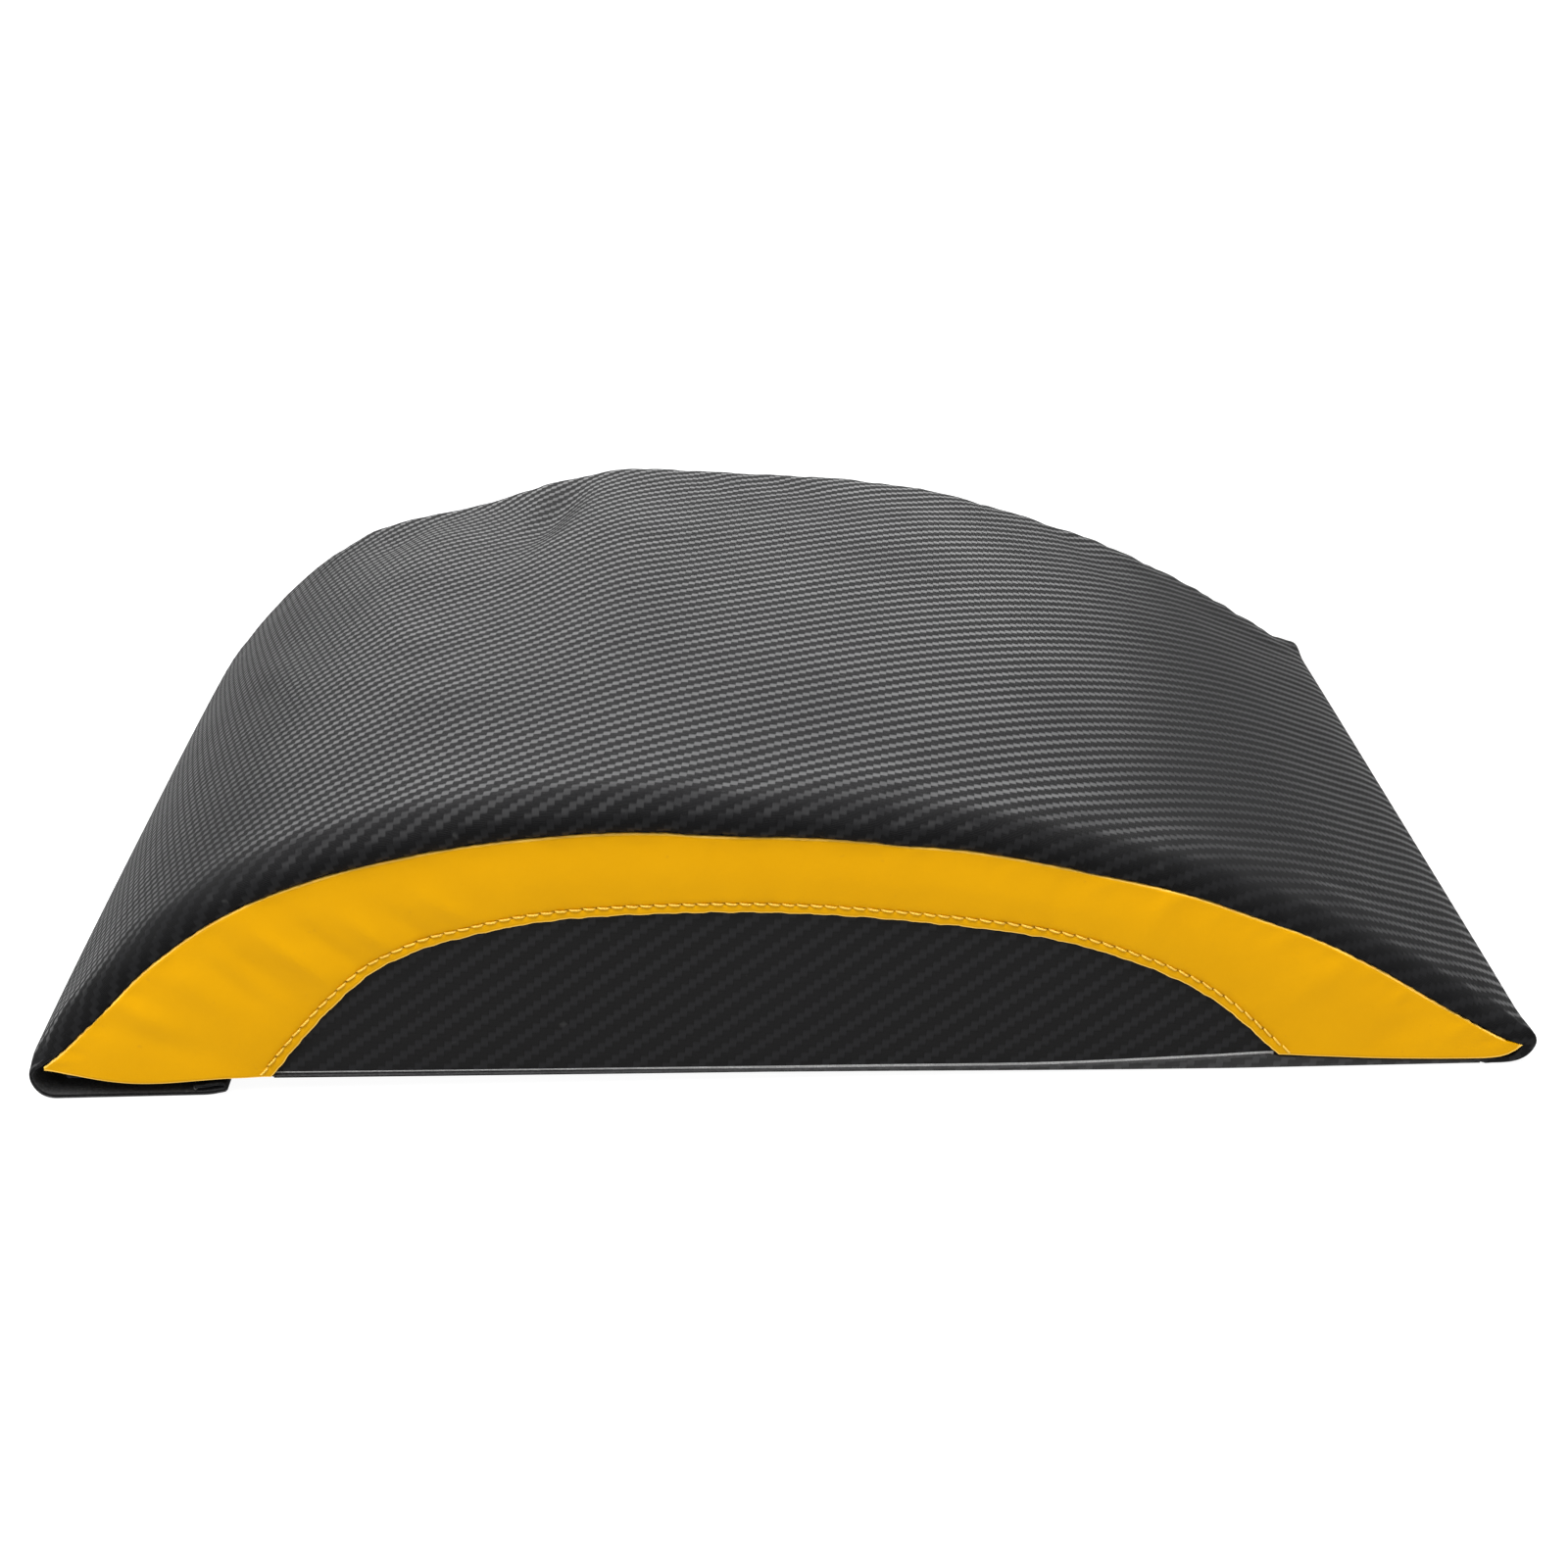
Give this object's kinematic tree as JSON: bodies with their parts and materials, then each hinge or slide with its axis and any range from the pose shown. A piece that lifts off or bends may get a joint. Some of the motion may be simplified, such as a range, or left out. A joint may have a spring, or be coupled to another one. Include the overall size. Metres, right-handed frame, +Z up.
{
  "type": "ab mat",
  "caption": "Curved sit-up mat: a foam core in a sewn cover, arched from a steep tail to a thin nose, with a hook-and-loop closure flap under the tail.",
  "frame": {"origin": "on the floor under the middle of the mat, which stands on its closed flap and on its nose", "axes": "+X from the steep tail with the closure to the thin nose, +Y across the width from the front side to the rear side, +Z up"},
  "size_m": [0.38, 0.3052, 0.08],
  "materials": {
    "foam": "open-cell foam",
    "cover_sheet": "black coated fabric with an embossed twill",
    "side_sheet": "black coated fabric with an embossed twill",
    "side_band": "yellow coated fabric, fine grain, satin",
    "thread": "twisted yellow thread",
    "hook_tape": "black nylon hooks",
    "loop_tape": "black brushed loops"
  },
  "bodies": {
    "mat": {"foam_core": "foam", "top_panel": "cover_sheet", "bottom_panel": "cover_sheet", "front_side_panel": "side_sheet", "rear_side_panel": "side_sheet", "front_side_band": "side_band", "rear_side_band": "side_band", "front_band_stitching": "thread", "rear_band_stitching": "thread", "loop_tape": "loop_tape"},
    "flap": {"closure_flap": "cover_sheet", "hook_tape": "hook_tape"}
  },
  "joints": [
    {"name": "flap_hinge", "type": "hinge", "parent": "mat", "child": "flap", "pos_m": [-0.19, 0, 0.007], "axis": [0, 1, 0], "range_deg": [0, 150]}
  ]
}
